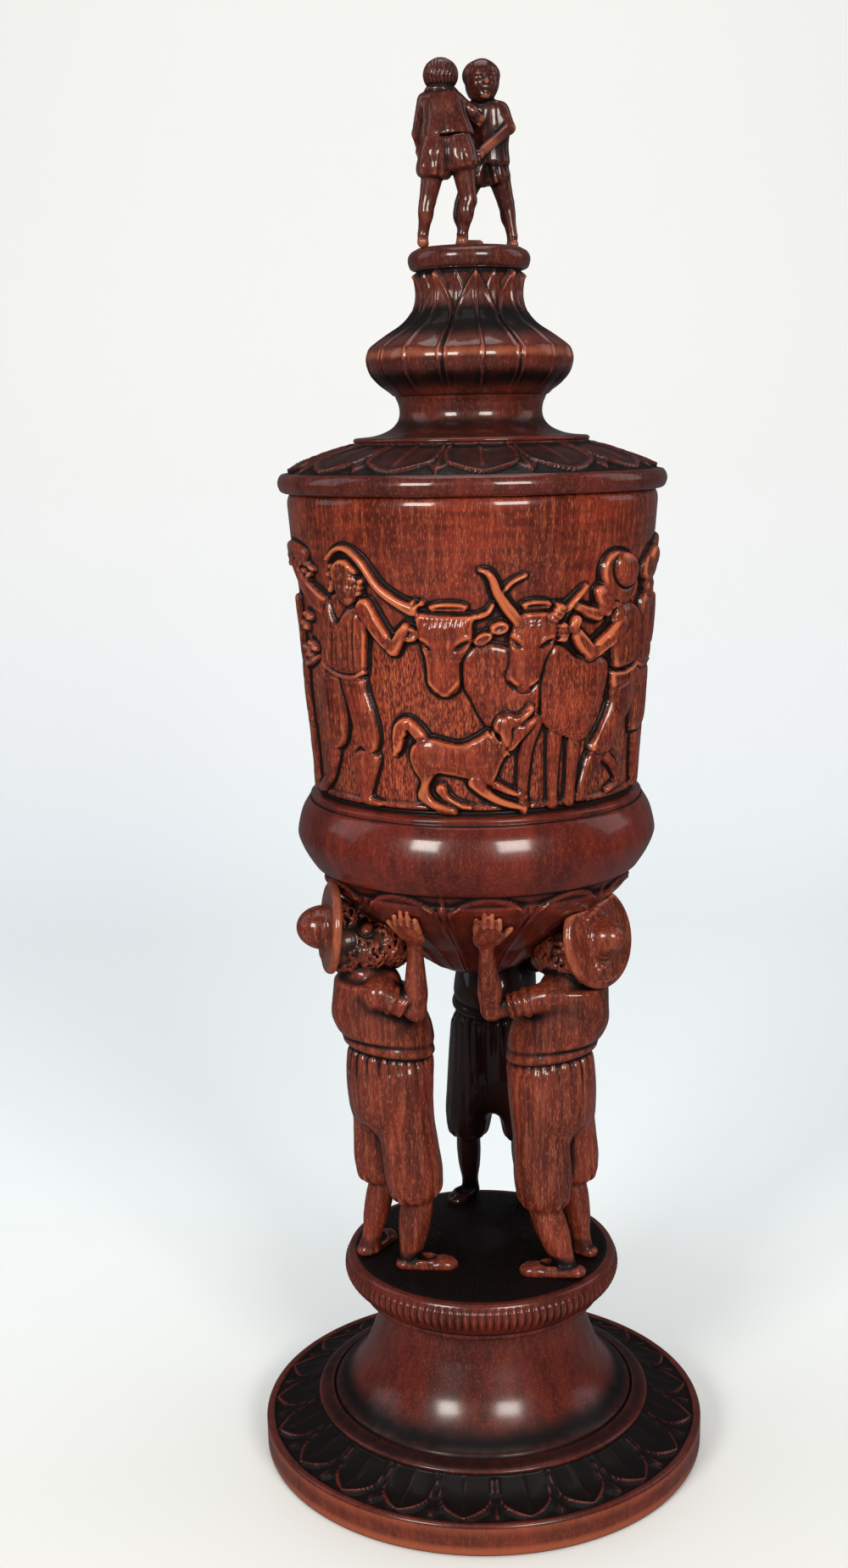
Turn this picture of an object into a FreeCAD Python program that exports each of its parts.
"""A lidded wooden chalice, turned and carved, about 42 cm tall.

Three herdsmen stand on a turned foot and carry a bowl on their hands and hats.
The bowl holds a tapered cup, and a loose lid with a ribbed knop and two
wrestlers closes it. Millimetres, +Z up, origin at the centre of the foot's
underside, and the front is on the -Y side.
"""
import FreeCAD, Part
import math
import os

os.makedirs("parts", exist_ok=True)
Vector = FreeCAD.Vector
UP = Vector(0, 0, 1)

# Foot: a turned base with a border of leaves and a bell that carries a collar
foot_r = 69.5
foot_rim_h = 9.5
foot_edge = 1.5
leaf_border_r = 52.5
leaf_border_h = 15.0
flange_h = 1.6
flange_w = 5.6
neck_r = 31.8
neck_h = 49.3
collar_r = 43.2
collar_h = 13.3
platform_r = 41.9
platform_dome = 2.0
foot_leaves = 21
foot_leaf_rise = 0.9
foot_leaf_turn = -97.0
bead_count = 112
bead_depth = 0.85

# Herdsmen: their height is what lifts the bowl off the platform
carry_h = 122.4
front_left_azimuth = 204.0
front_right_azimuth = 328.0
back_azimuth = 78.0
left_stand_r = 33.0
right_stand_r = 28.0
back_stand_r = 33.0
seat_gap = 0.15
peg_r = 1.2
peg_len = 14.0
peg_gap = 0.05

# Bowl: a turned dish with a round shoulder and leaves on its underside
bowl_depth = 30.5
bowl_flat_r = 12.0
bowl_under_r = 45.0
shoulder_overhang = 6.3
shoulder_h = 24.0
lip_overhang = 2.2
lip_h = 2.2
bowl_leaves = 11
bowl_leaf_rise = 0.6
bowl_leaf_turn = -88.0

# Cup: a tapered barrel with the carved herd scene round it
cup_foot_r = 47.3
cup_mouth_r = 54.2
cup_h = 87.8
cup_wall = 5.0
cup_floor = 7.0
tenon_r = 26.0
tenon_h = 6.0
joint_gap = 0.1
relief_root = 1.2
relief_edge = 0.4
leaf_crown = 0.25
leaf_root = 0.6

# Lid: a turned plate, its spigot, and the ledge that the knop stands on
lid_r = 56.6
lid_rim_h = 5.9
lid_rise = 13.6
lid_ledge_r = 34.3
spigot_h = 6.0
spigot_gap = 0.5
lid_hollow_r = 40.0
lid_hollow_h = 5.0
lid_leaves = 13
lid_leaf_rise = 0.7
lid_leaf_turn = -88.1

# Knop: a ribbed bulb on a cove, with a neck that carries the finial
knop_base_h = 1.5
cove_r = 20.8
cove_h = 12.0
bulb_r = 29.5
bulb_h = 11.0
knop_neck_r = 15.0
knop_h = 48.2
rib_count = 8
rib_groove = 1.6
rib_turn = -62.5
knop_tenon_r = 8.0
knop_tenon_h = 6.0

# Finial: a disc with two wrestlers carved in one with it
disc_r = 17.5
disc_h = 7.0
finial_tenon_r = 5.0
finial_tenon_h = 6.0
wrestlers_h = 51.0

# Heights and radii that follow from the sizes above
shoulder_r = cup_foot_r + shoulder_overhang
lip_r = cup_foot_r + lip_overhang
platform_z = neck_h + 1.4 + collar_h
bowl_z = platform_z + carry_h
cup_z = bowl_z + shoulder_h + lip_h
mouth_z = cup_z + cup_h
lid_top_z = mouth_z + lid_rise
disc_z = lid_top_z + knop_h
wrestlers_z = disc_z + disc_h


def turned(outline):
    """A solid turned from (radius, height) points and curves, closed along the axis."""
    edges = []
    start = None
    for step in outline:
        points = [Vector(r, 0, z) for r, z in step]
        if start is not None and start.distanceToPoint(points[0]) > 1e-6:
            edges.append(Part.LineSegment(start, points[0]).toShape())
        if len(points) == 3:
            edges.append(Part.Arc(*points).toShape())
        elif len(points) > 3:
            curve = Part.BSplineCurve()
            curve.interpolate(points)
            edges.append(curve.toShape())
        elif len(points) == 2:
            edges.append(Part.LineSegment(*points).toShape())
        start = points[-1]
    first = edges[0].Vertexes[0].Point
    if start.distanceToPoint(first) > 1e-6:
        edges.append(Part.LineSegment(start, first).toShape())
    face = Part.Face(Part.Wire(edges))
    return face.revolve(Vector(0, 0, 0), UP, 360)


def line(*points):
    """Straight runs through the given (radius, height) points, as separate steps."""
    return [[a, b] for a, b in zip(points, points[1:])]


def facets(a, b, c, d):
    """One flat face through four corners, or two triangles where they are not flat."""
    normal = (b - a).cross(c - a)
    if normal.Length < 1e-9:
        return triangle(a, c, d)
    if abs((d - a).dot(normal)) / normal.Length < 1e-7:
        return polygon([a, b, c, d])
    return triangle(a, b, c) + triangle(a, c, d)


def triangle(a, b, c):
    """A triangle, or nothing where its corners lie in line."""
    if (b - a).cross(c - a).Length < 1e-7:
        return []
    return polygon([a, b, c])


def polygon(corners):
    """A flat face with the given corners."""
    return [Part.Face(Part.makePolygon(corners + corners[:1]))]


def closed(faces):
    """The solid inside a closed set of faces, turned the right way out."""
    shell = Part.makeShell(faces)
    shell.sewShape()
    solid = Part.makeSolid(shell.Shells[0] if shell.ShapeType != "Shell" else shell)
    if solid.Volume < 0:
        solid.reverse()
    return solid


def skin(rings):
    """A solid carved through rings of corners, with a flat cap at each end."""
    faces = polygon(rings[0]) + polygon(rings[-1])
    for low, high in zip(rings, rings[1:]):
        count = len(low)
        for i in range(count):
            j = (i + 1) % count
            faces += facets(low[i], low[j], high[j], high[i])
    return closed(faces)


def fan(ring, middle):
    """Triangles from each side of a ring to a point in its middle."""
    faces = []
    for i, corner in enumerate(ring):
        faces += triangle(ring[i - 1], corner, middle)
    return faces


def pad(root, edge, bottom, top):
    """A low raised form: two matching rings of corners, each closed to a point in its middle."""
    faces = fan(root, bottom) + fan(edge, top)
    for i in range(len(root)):
        faces += facets(root[i - 1], root[i], edge[i], edge[i - 1])
    return closed(faces)


def leaf(place, half_angle, rise):
    """A carved leaf on a turned border; place(share, angle, lift) finds a point of the border."""
    outline = [(0.0, 0.84), (0.4, 0.9), (0.72, 0.68), (0.92, 0.32), (1.0, 0.0)]
    outline += [(share, -width) for share, width in reversed(outline[:-1])]
    edge = [place(share, width * half_angle, rise) for share, width in outline]
    root = [place(share, width * half_angle, -leaf_root) for share, width in outline]
    return pad(root, edge, place(0.45, 0.0, -leaf_root), place(0.45, 0.0, rise + leaf_crown))


def leaf_ring(low, high, count, first, rise, lean):
    """A border of leaves with roots on the circle low and tips on high, each (radius, height)."""
    leaves = []
    for i in range(count):
        middle = math.radians(first) + 2 * math.pi * i / count

        def place(share, angle, lift, middle=middle):
            r = low[0] + (high[0] - low[0]) * share + lean[0] * lift
            z = low[1] + (high[1] - low[1]) * share + lean[1] * lift
            return Vector(r * math.cos(middle + angle), r * math.sin(middle + angle), z)

        leaves.append(leaf(place, math.pi / count, rise))
    return leaves


def oval(centre, wide, deep, half_wide, half_deep, sides, turn=0.5):
    """The corners of one faceted oval section round a centre."""
    corners = []
    for i in range(sides):
        angle = 2 * math.pi * (i + turn) / sides
        corners.append(centre + wide * (half_wide * math.cos(angle)) + deep * (half_deep * math.sin(angle)))
    return corners


def limb(stations, sides=6, across=Vector(0, 1, 0)):
    """A limb through (point, half width, half depth) stations, square to its run."""
    run = (stations[-1][0] - stations[0][0]).normalize()
    deep = run.cross(across).normalize()
    wide = deep.cross(run).normalize()
    return skin([oval(p, wide, deep, w, d, sides) for p, w, d in stations])


def trunk(stations, sides=10, tilt=0.0):
    """A body through level sections, each (point, half width, half depth), tilted forward."""
    deep = Vector(math.cos(tilt), 0, -math.sin(tilt))
    return skin([oval(p, Vector(0, 1, 0), deep, w, d, sides) for p, w, d in stations])


def at(forward, side, height):
    """A point of a figure: forward, to its near side, and up from where it stands."""
    return Vector(forward, side, height)


def fused(pieces):
    """One solid from overlapping pieces."""
    return pieces[0].multiFuse(pieces[1:]).removeSplitter() if len(pieces) > 1 else pieces[0]


def leg(hip, knee, ankle, heel, toe):
    """A herdsman's leg: full breeches gathered over the knee, a bare calf and a shoe."""
    down = (knee - hip)
    breeches = limb([
        (hip, 6.5, 7.5),
        (hip + down * 0.45, 7.2, 8.6),
        (hip + down * 0.85, 6.8, 8.2),
        (knee, 5.4, 6.4),
    ], 8)
    shin = ankle - knee
    calf = limb([
        (knee - shin * 0.1, 3.4, 3.6),
        (knee + shin * 0.35, 3.5, 4.2),
        (ankle, 2.4, 2.8),
        (at(ankle.x, ankle.y, -3.0), 2.4, 3.0),
    ])
    sole = Vector(0, 0, -2.5)
    along = toe - heel
    across = Vector(-along.y, along.x, 0).normalize()
    shoe = limb([
        (heel + sole * 0.3 - along * 0.15, 2.2, 3.4),
        (heel + along * 0.4 + sole * 0.3, 3.0, 4.0),
        (toe + sole * 0.5, 2.8, 2.8),
        (toe + along * 0.15 + sole * 0.5, 1.6, 2.0),
    ], 6, across)
    return [breeches, calf, shoe]


def arm(shoulder, elbow, wrist, fingers):
    """A raised arm: a rolled sleeve, a bare forearm and a flat open hand."""
    outward = (elbow - shoulder).cross(wrist - elbow).normalize()
    upper = limb([
        (shoulder, 4.4, 4.6),
        (shoulder + (elbow - shoulder) * 0.55, 4.0, 4.2),
        (elbow, 3.2, 3.4),
    ], 6, outward)
    forearm = limb([
        (elbow - (wrist - elbow) * 0.15, 2.4, 2.4),
        (elbow + (wrist - elbow) * 0.15, 3.6, 3.6),
        (wrist, 2.1, 2.1),
    ], 6, outward)
    reach = fingers - wrist
    palm_side = UP.cross(reach).normalize()
    hand = limb([
        (wrist - reach * 0.1, 2.3, 1.6),
        (wrist + reach * 0.45, 4.2, 1.9),
        (fingers, 3.6, 1.2),
    ], 6, palm_side)
    return [upper, forearm, hand]


def hat(centre, crown):
    """A round hat: a domed crown on a rolled brim, square to the line from brim to crown."""
    out = (crown - centre).normalize()
    side = UP.cross(out).normalize()
    up = out.cross(side)
    brim_r = 13.6

    def ring(offset, radius):
        return oval(centre + out * offset, side, up, radius, radius, 14)

    brim = skin([ring(-1.6, brim_r * 0.82), ring(-0.6, brim_r), ring(0.8, brim_r * 0.97),
                 ring(1.6, brim_r * 0.5), ring(1.7, 6.6), ring(5.6, 6.4), ring(8.4, 4.4), ring(9.4, 1.6)])
    return brim


def herdsman(pose):
    """One herdsman, roughed out, standing at the origin and facing +X."""
    pieces = leg(pose["hip_near"], pose["knee_near"], pose["ankle_near"], pose["heel_near"], pose["toe_near"])
    pieces += leg(pose["hip_far"], pose["knee_far"], pose["ankle_far"], pose["heel_far"], pose["toe_far"])
    seat = pose["seat"]
    hem = pose["hem"]
    chest = pose["chest"]
    neck = pose["neck"]
    pieces.append(trunk([
        (seat - UP * 12, 8.5, 8.5),
        (seat, 12.2, 12.4),
        (hem, 12.2, 12.8),
        (hem + UP * 6, 10.5, 10.5),
    ]))
    pieces.append(trunk([
        (hem - UP * 3, 12.6, 13.6),
        (hem, 13.2, 14.4),
        (hem + (chest - hem) * 0.4, 11.4, 11.8),
        (chest, 12.6, 10.6),
        (neck - UP * 1, 9.0, 7.2),
        (neck + UP * 2.5, 4.6, 4.6),
    ], 10, pose["hem_tilt"]))
    pieces += arm(*pose["arm_near"])
    pieces += arm(*pose["arm_far"])
    head = pose["head"]
    back = (pose["crown"] - pose["brim"]).normalize()
    pieces.append(limb([
        (neck - UP * 3, 4.6, 4.6),
        (neck + (head - neck) * 0.6, 4.4, 4.4),
    ]))
    pieces.append(limb([
        (head + back * 9.0, 5.4, 6.0),
        (head + back * 4.0, 7.4, 7.6),
        (head - back * 2.0, 7.0, 7.6),
        (head - back * 7.0, 4.0, 5.2),
    ], 8))
    pieces.append(limb([
        (head - back * 3.0 - UP * 3.0, 5.4, 4.6),
        (head - back * 8.5 - UP * 2.5, 5.2, 5.2),
        (head - back * 12.0 - UP * 1.5, 2.6, 3.0),
    ]))
    pieces.append(hat(pose["brim"], pose["crown"]))
    return fused(pieces)


def left_pose():
    """The front left herdsman: weight on the near leg, arms spread under the bowl."""
    return {
        "hip_near": at(3.5, 5.5, 56), "knee_near": at(8.8, 6, 23.5), "ankle_near": at(5.6, 6, 6.5),
        "heel_near": at(4.2, 6, 1), "toe_near": at(16.0, 12, 1),
        "hip_far": at(1.0, -5.5, 56), "knee_far": at(2.0, -8, 25), "ankle_far": at(-2.6, -8, 5.5),
        "heel_far": at(-3.5, -8, 1), "toe_far": at(7.0, -14, 1),
        "seat": at(2.5, 0, 62), "hem": at(3.8, 0, 74), "hem_tilt": math.radians(22),
        "chest": at(-3.0, 0, 90), "neck": at(-6.0, 0, 97),
        "arm_near": (at(-4.5, 10, 91), at(5.8, 14.2, 85.5), at(6.0, 15.5, 105.5), at(0.0, 22.5, 116.0)),
        "arm_far": (at(-4.5, -10, 91), at(5.8, -14.2, 85.5), at(6.0, -15.5, 105.5), at(0.0, -22.5, 116.0)),
        "head": at(-7.0, 0, 104.5), "brim": at(-14.2, 0, 110.0), "crown": at(-24.0, 0, 113.0),
    }


def right_pose():
    """The front right herdsman: feet side by side, leaning in under the bowl."""
    return {
        "hip_near": at(4.0, 5.5, 55), "knee_near": at(2.0, 6, 21.0), "ankle_near": at(-6.0, 6, 6.5),
        "heel_near": at(-9.0, 6, 1), "toe_near": at(4.0, 12, 1),
        "hip_far": at(2.0, -5.5, 55), "knee_far": at(-0.5, -8, 25), "ankle_far": at(-4.2, -8, 5.5),
        "heel_far": at(-6.0, -8, 1), "toe_far": at(5.0, -14, 1),
        "seat": at(1.5, 0, 60), "hem": at(3.5, 0, 72), "hem_tilt": math.radians(22),
        "chest": at(-2.0, 0, 88), "neck": at(-5.5, 0, 95),
        "arm_near": (at(-1.5, 10, 89), at(12.9, 18.0, 85.0), at(10.0, 26.0, 106.5), at(4.5, 34.0, 117.5)),
        "arm_far": (at(-1.5, -10, 89), at(9.0, -16.0, 85.0), at(6.0, -19.0, 105.5), at(0.0, -26.0, 116.0)),
        "head": at(-6.0, 0, 101.5), "brim": at(-13.5, 0, 106.5), "crown": at(-23.0, 0, 108.5),
    }


def back_pose():
    """The herdsman behind, hidden but for the back and the legs."""
    pose = dict(left_pose())
    pose.update({
        "hip_near": at(3.5, 7.0, 56), "knee_near": at(2.0, 9.5, 24.0), "ankle_near": at(-2.6, 9.8, 5.5),
        "heel_near": at(-3.5, 10, 1), "toe_near": at(6.5, 14, 1),
        "hip_far": at(3.5, -7.0, 56), "knee_far": at(2.0, -9.5, 24.0), "ankle_far": at(-2.6, -9.8, 5.5),
        "heel_far": at(-3.5, -10, 1), "toe_far": at(6.5, -14, 1),
    })
    return pose


def placed(figure, azimuth, radius, mirrored=False):
    """A figure set on the platform, facing the axis from its azimuth."""
    standing = figure.copy()
    if mirrored:
        standing = standing.mirror(Vector(0, 0, 0), Vector(0, 1, 0))
    scale = FreeCAD.Matrix()
    size = carry_h / 122.4
    scale.scale(size, size, size)
    standing = standing.transformGeometry(scale) if abs(size - 1) > 1e-9 else standing
    standing.rotate(Vector(0, 0, 0), UP, azimuth + 180)
    angle = math.radians(azimuth)
    standing.translate(Vector(radius * math.cos(angle), radius * math.sin(angle), platform_z))
    return standing


def border_outside():
    """The outer edge of the foot's leaf border, below the leaves."""
    return foot_r - 1.9, foot_rim_h + 0.7 - foot_leaf_rise


def border_inside():
    """The inner edge of the foot's leaf border, below the leaves."""
    return leaf_border_r, leaf_border_h - foot_leaf_rise


def collar_low():
    """The height where the beaded collar starts."""
    return platform_z - collar_h + 3.6


def bead_ring(radius, depth, height):
    """One section of the beaded collar: a corner on each bead and one in each nick."""
    corners = []
    for i in range(2 * bead_count):
        angle = math.pi * i / bead_count
        r = radius - (depth if i % 2 else 0.0)
        corners.append(Vector(r * math.cos(angle), r * math.sin(angle), height))
    return corners


def beads():
    """The beaded collar, nicked all round with a gouge."""
    return skin([
        bead_ring(collar_r - 3.2, 0.1, collar_low()),
        bead_ring(collar_r - 1.0, bead_depth, collar_low() + 2.4),
        bead_ring(collar_r, bead_depth, collar_low() + 4.8),
        bead_ring(collar_r - 0.3, 0.1, collar_low() + 6.8),
    ])


def foot_profile():
    """The turned outline of the foot, up to the platform."""
    flange_top = leaf_border_h + flange_h
    bell_start_r = leaf_border_r - flange_w
    bell_start_z = flange_top + 2.0
    fillet_r = neck_r + 5.4
    outline = line((0, 0), (foot_r - foot_edge, 0), (foot_r, foot_edge), (foot_r, foot_rim_h),
                   (foot_r - 1.5, foot_rim_h + 0.5), border_outside())
    outline += line(border_outside(), border_inside(), (leaf_border_r, flange_top),
                    (bell_start_r + 1.0, bell_start_z - 0.4), (bell_start_r + 0.6, bell_start_z - 1.0),
                    (bell_start_r, bell_start_z))
    outline += [[(bell_start_r, bell_start_z), (neck_r + 5.4, bell_start_z + 10.5), (neck_r, neck_h)]]
    outline += line((neck_r, neck_h), (fillet_r, neck_h + 1.6), (fillet_r, neck_h + 2.8),
                    (fillet_r, collar_low() + 3.4), (collar_r - bead_depth - 1.0, collar_low() + 3.4),
                    (collar_r - bead_depth - 0.3, collar_low() + 6.8), (collar_r - 0.3, collar_low() + 6.8),
                    (platform_r, platform_z - 0.8), (platform_r - 1.0, platform_z))
    outline += line((platform_r - 1.0, platform_z), (0, platform_z + platform_dome))
    return outline


def make_foot():
    """The foot: one turning, with the leaf border and the beaded collar carved on it."""
    leaves = leaf_ring(border_inside(), border_outside(), foot_leaves, foot_leaf_turn, foot_leaf_rise, (0.0, 1.0))
    return turned(foot_profile()).multiFuse([beads()] + leaves)


def bowl_profile(grow=0.0):
    """The turned outline of the bowl, or of the space it needs when grow is given."""
    under_z = bowl_z - grow
    flat_z = under_z - bowl_depth
    return (
        line((0, flat_z), (bowl_flat_r, flat_z + 0.8))
        + [[(bowl_flat_r, flat_z + 0.8), (bowl_flat_r + 6.0, flat_z + 5.0), (bowl_under_r * 0.51, flat_z + 10.3)]]
        + line((bowl_under_r * 0.51, flat_z + 10.3), (bowl_under_r - 1.6, under_z - 3.8), (bowl_under_r, under_z))
    )


def make_bowl():
    """The bowl: leaf-carved dish, round shoulder, lip, and a socket for the cup."""
    rim_z = bowl_z + shoulder_h
    outline = bowl_profile()
    outline += [[(bowl_under_r, bowl_z), (shoulder_r - 3.2, bowl_z + 6.6), (shoulder_r - 0.6, bowl_z + 12.2),
                 (shoulder_r, bowl_z + 16.0), (shoulder_r - 1.2, bowl_z + 20.4), (lip_r + 0.2, rim_z)]]
    outline += [[(lip_r + 0.2, rim_z), (lip_r + 0.3, rim_z + lip_h * 0.6), (lip_r - 1.0, rim_z + lip_h)]]
    outline += line((lip_r - 1.0, rim_z + lip_h), (tenon_r + joint_gap, rim_z + lip_h),
                    (tenon_r + joint_gap, rim_z + lip_h - tenon_h - joint_gap),
                    (0, rim_z + lip_h - tenon_h - joint_gap))
    low = (bowl_under_r * 0.51, bowl_z - bowl_depth + 10.3)
    high = (bowl_under_r - 1.0, bowl_z - 2.4)
    leaves = leaf_ring(low, high, bowl_leaves, bowl_leaf_turn, bowl_leaf_rise, (0.62, -0.78))
    return turned(outline).multiFuse(leaves)


def cup_wall_r(z):
    """The cup's outside radius at a height."""
    return cup_foot_r + (cup_mouth_r - cup_foot_r) * (z - cup_z) / cup_h


def on_cup(around, height, lift):
    """A point by its distance round from the front, its height on the cup, and its lift off the wall."""
    z = cup_z + height * cup_h / 87.8
    angle = around / 50.0 - math.pi / 2
    r = cup_wall_r(z) + lift
    return Vector(r * math.cos(angle), r * math.sin(angle), z)


def carved_pad(outline, rise, shift=0.0, way=1):
    """A low rounded form of the relief within an outline of (around, height) points."""
    corners = [(shift + way * a, h) for a, h in outline]
    middle = [sum(c[i] for c in corners) / len(corners) for i in (0, 1)]
    root = [on_cup(a, h, -relief_root) for a, h in corners]
    edge = [on_cup(a, h, relief_edge) for a, h in corners]
    return pad(root, edge, on_cup(*middle, -relief_root - 0.6), on_cup(*middle, rise))


def carved_line(points, rise, shift=0.0, way=1):
    """A rounded bar of the relief through (around, height, half width) points."""
    points = [(shift + way * a, h, w) for a, h, w in points]
    rings = []
    for i, (a, h, w) in enumerate(points):
        before = points[max(i - 1, 0)]
        after = points[min(i + 1, len(points) - 1)]
        run = math.hypot(after[0] - before[0], after[1] - before[1])
        side_a = -(after[1] - before[1]) / run * w
        side_h = (after[0] - before[0]) / run * w
        rings.append([on_cup(a + share * side_a, h + share * side_h, lift) for share, lift in (
            (-1.0, -relief_root), (-0.9, relief_edge), (0.0, rise), (0.9, relief_edge), (1.0, -relief_root))])
    first, last = points[0], points[-1]
    faces = fan(rings[0], on_cup(first[0], first[1], 0.0)) + fan(rings[-1], on_cup(last[0], last[1], 0.0))
    for low, high in zip(rings, rings[1:]):
        for i in range(5):
            faces += facets(low[i - 1], low[i], high[i], high[i - 1])
    return closed(faces)


def carved_oval(around, height, half_wide, half_high, tilt, rise, shift=0.0, way=1):
    """A rounded oval of the relief."""
    turn = math.radians(tilt)
    outline = []
    for i in range(8):
        a = half_wide * math.cos(math.pi * i / 4)
        b = half_high * math.sin(math.pi * i / 4)
        outline.append((around + a * math.cos(turn) - b * math.sin(turn),
                        height + a * math.sin(turn) + b * math.cos(turn)))
    return carved_pad(outline, rise, shift, way)


def tree(around):
    """A tree of the relief: its trunk, two clumps of leaves and the shelf of leaves on top."""
    return [
        carved_line([(around, 2.6, 3.2), (around + 1.5, 15, 2.8), (around, 43, 2.4), (around, 60, 2.2)], 1.1),
        carved_oval(around + 8, 52, 4.0, 2.4, 20, 1.2),
        carved_oval(around + 8, 43.5, 4.0, 2.4, -15, 1.2),
        carved_pad([(around - 13, 68), (around - 8, 73), (around + 6, 74), (around + 14, 72), (around + 12, 68.6),
                    (around, 67.6)], 1.5),
    ]


def standing_man():
    """The relief's herdsman on the left, with one arm raised to a branch and one on the horn."""
    return [
        carved_line([(-50.5, 17, 3.6), (-54, 10, 2.6), (-61, 4.5, 2.0), (-66, 2.6, 1.4)], 1.2),
        carved_line([(-34.5, 17, 3.8), (-36, 9, 3.0), (-36.4, 2.6, 2.4)], 1.3),
        carved_pad([(-49.5, 39), (-53, 28), (-53, 19), (-50, 17), (-46, 17.2), (-42.8, 20.4), (-41.2, 29), (-40.4, 39)],
                   1.7),
        carved_pad([(-42.2, 38.6), (-40.4, 30), (-37.4, 20.4), (-34.4, 17.6), (-31, 18), (-30, 22), (-31, 29),
                    (-34, 38.6)], 1.8),
        carved_line([(-46, 57, 2.8), (-57, 63, 2.4), (-65, 69, 1.6), (-69.5, 71, 1.2)], 1.5),
        carved_pad([(-47, 57.5), (-48.4, 49), (-50.2, 41.5), (-42, 37.4), (-33, 39.4), (-31.6, 46), (-30, 57.4),
                    (-36, 59.4), (-43, 60)], 2.1),
        carved_line([(-31.6, 58, 2.6), (-27.6, 52, 2.5), (-23.4, 46.4, 2.0)], 1.8),
        carved_line([(-23.6, 46.2, 2.0), (-21.4, 50, 1.7), (-19.4, 54, 1.4)], 1.8),
        carved_oval(-37.4, 64.2, 4.6, 6.2, 4, 2.2),
    ]


def leading_man(shift=0.0, way=1):
    """The relief's herdsman on the right, who holds the ox by its horns."""
    return [
        carved_line([(43, 16, 2.6), (48.4, 11, 1.8), (51.4, 6.6, 1.4), (46, 3.6, 1.4)], 1.0, shift, way),
        carved_line([(37, 16, 3.0), (34, 9, 2.4), (31.6, 2.6, 2.0)], 1.4, shift, way),
        carved_pad([(41.4, 35), (40.6, 29), (34, 18), (38, 15.4), (42.4, 16), (52, 26), (56, 31), (54.6, 36)], 2.0,
                   shift, way),
        carved_line([(35, 55, 2.0), (29.6, 56.4, 1.7), (24.6, 57.6, 2.0)], 1.4, shift, way),
        carved_pad([(41, 56), (44, 58), (49, 57), (53, 54.4), (55.2, 50), (55, 44), (53.6, 38), (42, 38.6), (40.6, 44)],
                   2.3, shift, way),
        carved_line([(43.6, 51.6, 2.6), (37.6, 47.6, 2.4), (31.4, 44.4, 2.1), (28, 49, 2.0), (24, 51.6, 2.0)], 2.2,
                    shift, way),
        carved_oval(37, 58, 3.4, 4.4, -10, 1.8, shift, way),
        carved_oval(42.6, 65.4, 8.8, 6.2, -36, 1.9, shift, way),
        carved_oval(44.2, 67, 5.2, 4.4, -34, 2.6, shift, way),
    ]


def edge_man():
    """The third herdsman of the relief, beside the tree on the right."""
    return [
        carved_line([(62.4, 18, 3.8), (62.6, 9, 2.8), (62.6, 2.6, 2.4)], 1.3),
        carved_pad([(55, 38), (54.6, 28), (55.2, 20), (60, 18.8), (68, 20), (69.4, 30), (66.6, 38)], 1.8),
        carved_pad([(55.6, 57.6), (54.6, 48), (54.8, 39), (66.6, 39), (68.4, 46), (67.6, 56), (62, 60)], 2.0),
        carved_oval(61, 66.6, 7.2, 5.0, 16, 2.0),
    ]


def left_ox():
    """The first ox: its head from the front, its horns, ears and the body behind."""
    return [
        carved_pad([(-5, 43), (-4.4, 37), (0, 28.4), (3, 25), (14, 25), (17, 36), (12, 46.8), (3, 48.6), (-3.6, 46.6)],
                   1.4),
        carved_line([(-18, 57.6, 1.7), (-25, 62, 1.4), (-29.6, 67.6, 1.2), (-34, 72.6, 1.1), (-40, 73.4, 0.8),
                     (-44.4, 70.6, 0.5)], 2.0),
        carved_line([(-1.6, 55.4, 1.2), (3.8, 59, 0.8)], 1.4),
        carved_oval(-18, 50.5, 3.6, 2.2, 4, 1.3),
        carved_oval(0.8, 50.8, 2.9, 1.6, 32, 1.2),
        carved_pad([(-17.6, 57), (-9, 58.6), (-0.6, 56), (-3, 50), (-6, 46), (-5.4, 38), (-9.4, 34), (-13.6, 38),
                    (-13, 46), (-15.6, 51)], 2.2),
    ]


def right_ox(shift=0.0, way=1):
    """The second ox: three legs, a body to the right, and its head low between raised horns."""
    legs = [carved_line([(foot + lean, 24, 2.0), (foot, 12, 1.6), (foot, 2.8, 1.9)], 1.2, shift, way)
            for foot, lean in ((12.4, 2.6), (21.7, 0.2), (27.9, 0.6))]
    return legs + [
        carved_pad([(17, 45), (16.8, 34), (18, 25), (25, 21), (31.4, 19.4), (35, 25), (39.8, 37.4), (36, 43.6),
                    (24, 46.6)], 1.7, shift, way),
        carved_line([(10, 54, 1.7), (6.4, 59, 1.6), (4, 64.6, 1.3), (2.2, 67.6, 0.9), (0.2, 68.4, 0.5)], 2.2, shift, way),
        carved_line([(19, 55.4, 1.3), (24, 57.6, 1.2), (30, 63, 0.6)], 1.8, shift, way),
        carved_oval(5.4, 52.6, 2.7, 1.5, 14, 1.4, shift, way),
        carved_pad([(8.4, 54.6), (14, 57.4), (19.6, 55), (16.8, 46), (17, 38), (12.2, 34), (7.2, 38), (9, 46)], 2.3,
                   shift, way),
    ]


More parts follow.
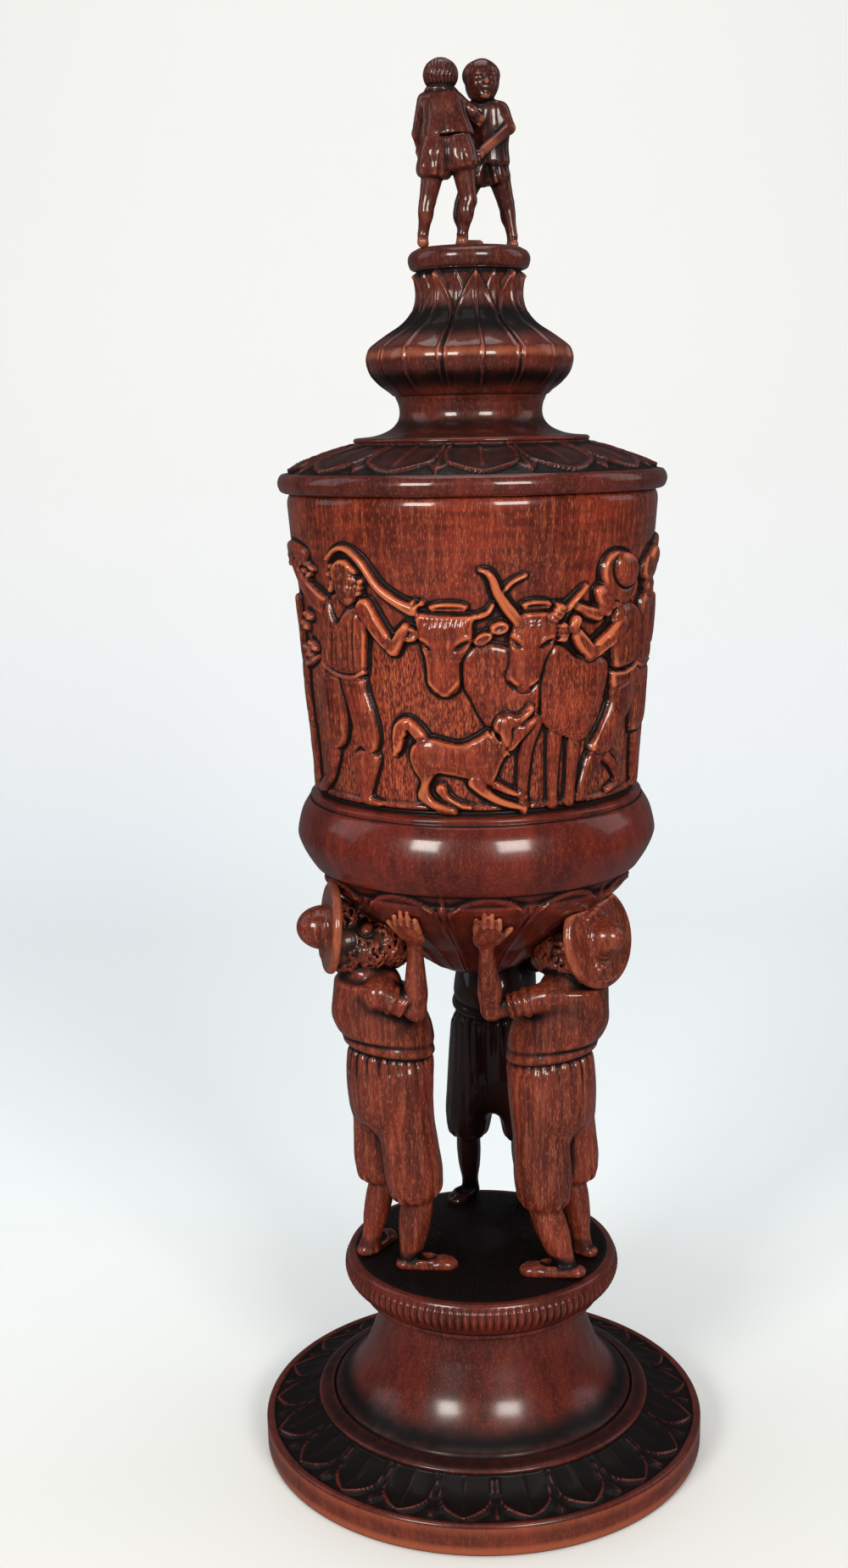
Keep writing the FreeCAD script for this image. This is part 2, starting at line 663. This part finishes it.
def dog():
    """The dog in front of the oxen, its head turned up and its tail over its back."""
    return [
        carved_line([(-25.4, 17.6, 2.2), (-24.4, 22.6, 2.2), (-21.4, 26, 2.0), (-17, 23.6, 1.8)], 1.8),
        carved_line([(-16, 14, 3.4), (-16, 8, 2.0), (-12, 3.8, 1.5), (-7, 2.4, 1.1)], 1.9),
        carved_line([(-11, 8, 1.6), (-7, 4.0, 1.1), (-3, 3.0, 0.9)], 1.2),
        carved_line([(-2, 12, 3.0), (2, 6.8, 1.7), (7, 4.0, 1.3), (12.4, 2.6, 1.0)], 2.0),
        carved_line([(3.6, 9.4, 1.6), (8, 7.2, 1.1), (13, 5.4, 0.9)], 1.3),
        carved_pad([(-20, 17), (-18.6, 21), (-13, 22.6), (-6, 21), (0, 23.4), (4, 22), (6.4, 17), (3, 10.4), (-5, 11.4),
                    (-13, 12), (-18.6, 13.6)], 2.4),
        carved_pad([(3, 23), (4.6, 27.4), (9, 28.2), (14, 31.6), (15, 28), (12, 23.6), (8, 18.6), (5, 19.4)], 2.3),
    ]


def herd_scene():
    """Every form of the relief; the back of the cup repeats the front's forms."""
    front = tree(-68.0) + tree(74.0) + standing_man() + leading_man() + edge_man() + left_ox() + right_ox() + dog()
    return front + right_ox(120.0, -1) + right_ox(-106.0, -1) + leading_man(-180.0)


def make_cup():
    """The cup: a tapered barrel with its relief, a floor, and a tenon that seats in the bowl."""
    floor_z = cup_z + cup_floor
    barrel = turned(line(
        (0, cup_z - tenon_h), (tenon_r, cup_z - tenon_h), (tenon_r, cup_z), (cup_foot_r, cup_z),
        (cup_mouth_r, mouth_z), (cup_mouth_r - cup_wall, mouth_z),
        (cup_wall_r(floor_z) - cup_wall, floor_z), (0, floor_z)))
    return barrel.multiFuse(herd_scene())


def make_lid_plate():
    """The lid's plate: rounded rim, sloping top, spigot, hollow and a socket for the knop."""
    spigot_r = cup_mouth_r - cup_wall - spigot_gap
    groove_r = lid_r - 1.6
    hollow_z = mouth_z + lid_hollow_h
    outline = line((spigot_r - 1.0, mouth_z - spigot_h), (spigot_r, mouth_z - spigot_h + 1.0),
                   (spigot_r, mouth_z), (lid_r - 1.2, mouth_z))
    outline += [[(lid_r - 1.2, mouth_z), (lid_r, mouth_z + 2.8), (groove_r + 0.2, mouth_z + 5.2)]]
    outline += line((groove_r + 0.2, mouth_z + 5.2), (groove_r - 0.6, mouth_z + 5.2),
                    (groove_r - 0.8, mouth_z + lid_rim_h + 0.3), (lid_ledge_r, lid_top_z),
                    (knop_tenon_r + joint_gap, lid_top_z),
                    (knop_tenon_r + joint_gap, hollow_z + 1.5), (0, hollow_z + 1.5), (0, hollow_z),
                    (lid_hollow_r - 6.0, hollow_z), (lid_hollow_r, mouth_z - spigot_h))
    slope = (lid_top_z - mouth_z - lid_rim_h - 0.3) / (groove_r - 0.8 - lid_ledge_r)
    low = (lid_ledge_r + 1.0, lid_top_z - slope)
    high = (groove_r - 1.4, mouth_z + lid_rim_h + 0.3 + slope * 0.6)
    leaves = leaf_ring(low, high, lid_leaves, lid_leaf_turn, lid_leaf_rise, (0.36, 0.93))
    return turned(outline).multiFuse(leaves)


def lobed(radius, groove, height, lobes=8, points=4):
    """One ribbed section: lobes that bulge between sharp grooves."""
    corners = []
    for i in range(lobes * points):
        share = (i % points) / points
        depth = groove * (1 - math.sin(math.pi * share)) if share else groove
        angle = math.radians(rib_turn) + 2 * math.pi * i / (lobes * points)
        r = radius - depth
        corners.append(Vector(r * math.cos(angle), r * math.sin(angle), height))
    return corners


def make_knop():
    """The knop: a base, a cove, a ribbed bulb and a neck, with a tenon at each end."""
    z = lid_top_z
    cove_top = z + cove_h
    base = turned(
        line((0, z - knop_tenon_h), (knop_tenon_r, z - knop_tenon_h), (knop_tenon_r, z), (lid_ledge_r, z),
             (lid_ledge_r, z + knop_base_h - 0.4), (lid_ledge_r - 0.6, z + knop_base_h),
             (lid_ledge_r - 6.0, z + knop_base_h + 0.4))
        + [[(lid_ledge_r - 6.0, z + knop_base_h + 0.4), (cove_r + 1.2, z + 4.6), (cove_r, z + 8.0)]]
        + line((cove_r, z + 8.0), (cove_r + 1.0, cove_top), (0, cove_top)))
    bulb_z = cove_top + bulb_h
    neck_z = bulb_z + 19.0
    rings = [
        lobed(cove_r + 0.4, 0.1, cove_top, rib_count),
        lobed(cove_r + 4.2, 0.5, cove_top + 3.0, rib_count),
        lobed(bulb_r - 1.6, 1.0, bulb_z - 3.8, rib_count),
        lobed(bulb_r, rib_groove, bulb_z - 0.8, rib_count),
        lobed(bulb_r - 1.3, rib_groove, bulb_z + 2.8, rib_count),
        lobed(bulb_r - 6.4, rib_groove, bulb_z + 6.6, rib_count),
        lobed(knop_neck_r + 3.0, 1.0, bulb_z + 11.0, rib_count),
        lobed(knop_neck_r, 0.7, neck_z, rib_count),
        lobed(knop_neck_r + 0.9, 0.7, disc_z, rib_count),
    ]
    tenon = Part.makeCylinder(finial_tenon_r, finial_tenon_h - 0.5, Vector(0, 0, disc_z))
    return fused([base, skin(rings), tenon])


def bare_leg(hip, knee, ankle, toe):
    """A wrestler's leg, bare from the shorts down."""
    along = toe - ankle
    return [
        limb([(hip, 3.4, 3.6), (hip + (knee - hip) * 0.5, 2.9, 3.1), (knee, 2.1, 2.2)]),
        limb([(knee + (hip - knee) * 0.1, 2.1, 2.2), (knee + (ankle - knee) * 0.35, 2.2, 2.4),
              (ankle, 1.4, 1.6), (ankle - UP * 2.4, 1.5, 1.7)]),
        limb([(ankle - along * 0.2 - UP * 1.2, 1.2, 1.2), (toe - UP * 1.6, 1.6, 1.0)], 6, UP.cross(along)),
    ]


def bare_arm(shoulder, elbow, hand):
    """A wrestler's arm, bent at the elbow, with the fist closed."""
    return [
        limb([(shoulder, 2.4, 2.4), (elbow, 1.7, 1.8)]),
        limb([(elbow, 1.8, 1.9), (hand, 1.2, 1.3)]),
        limb([(hand + (elbow - hand) * 0.1, 1.5, 1.3), (hand - (elbow - hand) * 0.22, 1.5, 1.4)]),
    ]


def wrestler(pose):
    """One wrestler in shirt and short breeches, in the finial's own millimetres."""
    hips = pose["hips"]
    chest = pose["chest"]
    head = pose["head"]
    pieces = [
        trunk([(hips - UP * 6.5, 5.2, 4.0), (hips, 5.0, 6.6), (hips + (chest - hips) * 0.5, 4.2, 5.0),
               (chest, 4.8, 5.8), (chest + (head - chest) * 0.45, 3.0, 3.0)], 8),
        limb([(chest, 2.4, 2.4), (head, 2.4, 2.4)]),
        trunk([(head - UP * 5.2, 2.2, 2.4), (head - UP * 2.0, 4.0, 4.2), (head + UP * 2.0, 4.4, 4.6),
               (head + UP * 5.4, 2.2, 2.4)], 8),
    ]
    for side in ("left", "right"):
        pieces += bare_leg(*pose[side + "_leg"])
        pieces += bare_arm(*pose[side + "_arm"])
    for hip in (pose["left_leg"], pose["right_leg"]):
        down = hip[1] - hip[0]
        pieces.append(limb([(hip[0] + UP * 2.5, 3.8, 4.2), (hip[0] + down * 0.42, 4.2, 4.6)]))
    return pieces


def make_finial():
    """The finial: a rounded disc with two wrestlers gripping each other's breeches."""
    edge = disc_r - 0.9
    disc = turned(
        line((finial_tenon_r + joint_gap, disc_z), (edge, disc_z))
        + [[(edge, disc_z), (disc_r, disc_z + disc_h * 0.55), (edge - 0.2, wrestlers_z - 0.2)]]
        + line((edge - 0.2, wrestlers_z - 0.2), (edge - 1.6, wrestlers_z), (0, wrestlers_z),
               (0, disc_z + finial_tenon_h), (finial_tenon_r + joint_gap, disc_z + finial_tenon_h)))
    seen_from_behind = {
        "hips": Vector(-6.4, -5.5, 25.0), "chest": Vector(-7.2, -4.5, 36.0), "head": Vector(-7.4, -4.0, 44.6),
        "left_leg": (Vector(-9.6, -5.5, 21.0), Vector(-11.6, -6.0, 11.0), Vector(-13.0, -5.5, 2.0),
                     Vector(-14.0, -2.0, 2.0)),
        "right_leg": (Vector(-2.2, -5.5, 21.0), Vector(-0.6, -6.0, 11.0), Vector(-2.2, -7.0, 2.0),
                      Vector(-0.5, -3.5, 2.0)),
        "left_arm": (Vector(-11.8, -4.0, 38.0), Vector(-14.0, -1.0, 29.5), Vector(-8.0, 4.0, 26.0)),
        "right_arm": (Vector(-2.6, -4.5, 38.5), Vector(0.5, -3.0, 32.5), Vector(3.4, -0.6, 33.5)),
    }
    facing = {
        "hips": Vector(6.6, 4.5, 24.5), "chest": Vector(5.6, 4.5, 35.0), "head": Vector(4.5, 3.0, 45.2),
        "left_leg": (Vector(9.6, 4.5, 20.5), Vector(11.2, 5.0, 11.0), Vector(12.8, 5.5, 2.0),
                     Vector(14.4, 2.5, 2.0)),
        "right_leg": (Vector(2.6, 4.5, 20.5), Vector(-1.0, 3.0, 11.0), Vector(1.6, 2.0, 2.0),
                      Vector(4.6, 0.6, 2.0)),
        "left_arm": (Vector(10.4, 3.5, 36.5), Vector(12.0, 1.2, 31.0), Vector(3.2, -5.0, 23.5)),
        "right_arm": (Vector(0.8, 4.5, 36.0), Vector(-5.0, 5.5, 33.0), Vector(-10.0, 1.0, 30.0)),
    }
    pair = fused(wrestler(seen_from_behind) + wrestler(facing))
    size = wrestlers_h / 51.0
    grow = FreeCAD.Matrix()
    grow.scale(size, size, size)
    pair = pair.transformGeometry(grow) if abs(size - 1) > 1e-9 else pair
    pair.translate(Vector(0, 0, wrestlers_z))
    room = Part.makeCylinder(disc_r, wrestlers_h * 1.2, Vector(0, 0, wrestlers_z - 0.5))
    return fused([disc, pair.common(room)])


def peg_places():
    """Where each herdsman's peg stands: under the ankle of the leg that bears most."""
    places = []
    for pose, azimuth, radius, mirrored in stands():
        ankle = pose["ankle_far"]
        side = -ankle.y if mirrored else ankle.y
        spot = Vector(ankle.x, side, 0)
        turn = FreeCAD.Rotation(UP, azimuth + 180)
        angle = math.radians(azimuth)
        out = Vector(radius * math.cos(angle), radius * math.sin(angle), platform_z)
        places.append(turn.multVec(spot) * (carry_h / 122.4) + out)
    return places


def stands():
    """Each herdsman's pose, azimuth, distance from the axis, and whether it is mirrored."""
    return [
        (left_pose(), front_left_azimuth, left_stand_r, True),
        (right_pose(), front_right_azimuth, right_stand_r, False),
        (back_pose(), back_azimuth, back_stand_r, False),
    ]


def pegs(radius, length):
    """The hidden pegs, or the holes for them when given more radius and length."""
    low = Vector(0, 0, -length / 2)
    return [Part.makeCylinder(radius, length, place + low) for place in peg_places()]


def bowl_space():
    """The room that the bowl and its leaves take, which the herdsmen are pared to."""
    grow = (bowl_leaf_rise + leaf_crown) / 0.78 + seat_gap
    outline = bowl_profile(grow)
    outline += line((bowl_under_r, bowl_z - grow), (shoulder_r + 4, bowl_z - grow + 3.0),
                    (shoulder_r + 4, bowl_z + shoulder_h), (0, bowl_z + shoulder_h))
    return turned(outline)


def export(name, shape):
    """Write one piece to its own file."""
    shape.exportStep("parts/" + name + ".step")


def main():
    """Make every piece and write it."""
    foot = make_foot()
    holes = Part.makeCompound(pegs(peg_r + peg_gap, peg_len + 2 * peg_gap))
    space = bowl_space()
    names = ("herdsman_left", "herdsman_right", "herdsman_back")
    for name, stand in zip(names, stands()):
        pose, azimuth, radius, mirrored = stand
        figure = placed(herdsman(pose), azimuth, radius, mirrored)
        figure = figure.cut(foot).cut(space).cut(holes)
        biggest = max(figure.Solids, key=lambda solid: solid.Volume)
        print(name, "solids", len(figure.Solids), "volume", round(biggest.Volume), biggest.isValid())
        export(name, biggest)
    export("foot", foot.cut(holes))
    export("figure_pegs", Part.makeCompound(pegs(peg_r, peg_len)))
    export("bowl", make_bowl())
    export("cup", make_cup())
    export("lid_plate", make_lid_plate())
    export("knop", make_knop())
    export("finial", make_finial())


main()
